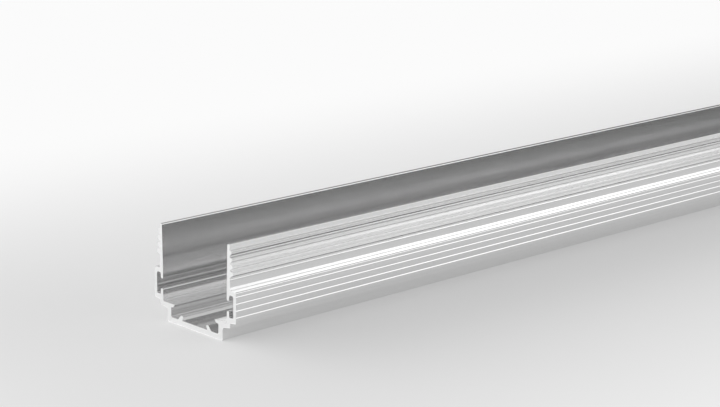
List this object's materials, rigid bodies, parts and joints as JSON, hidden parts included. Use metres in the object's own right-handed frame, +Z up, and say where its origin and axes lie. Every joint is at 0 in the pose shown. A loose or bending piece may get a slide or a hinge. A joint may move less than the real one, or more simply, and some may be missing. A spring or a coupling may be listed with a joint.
{
  "type": "aluminium led profile",
  "caption": "Extruded aluminium channel for an LED strip: barbed strip bed, cover ledges, inward C-slots in side boxes, and thin walls with toothed outer faces.",
  "frame": {"origin": "middle of the flat base, halfway along the bar's length", "axes": "+X across the profile, +Y along its length, +Z up from the base towards the open side"},
  "size_m": [0.036, 1, 0.0284],
  "materials": {
    "aluminium": "satin extruded surface with fine lines along its length, and matt sawn end faces"
  },
  "bodies": {
    "root": {"led_profile": "aluminium"}
  },
  "joints": []
}
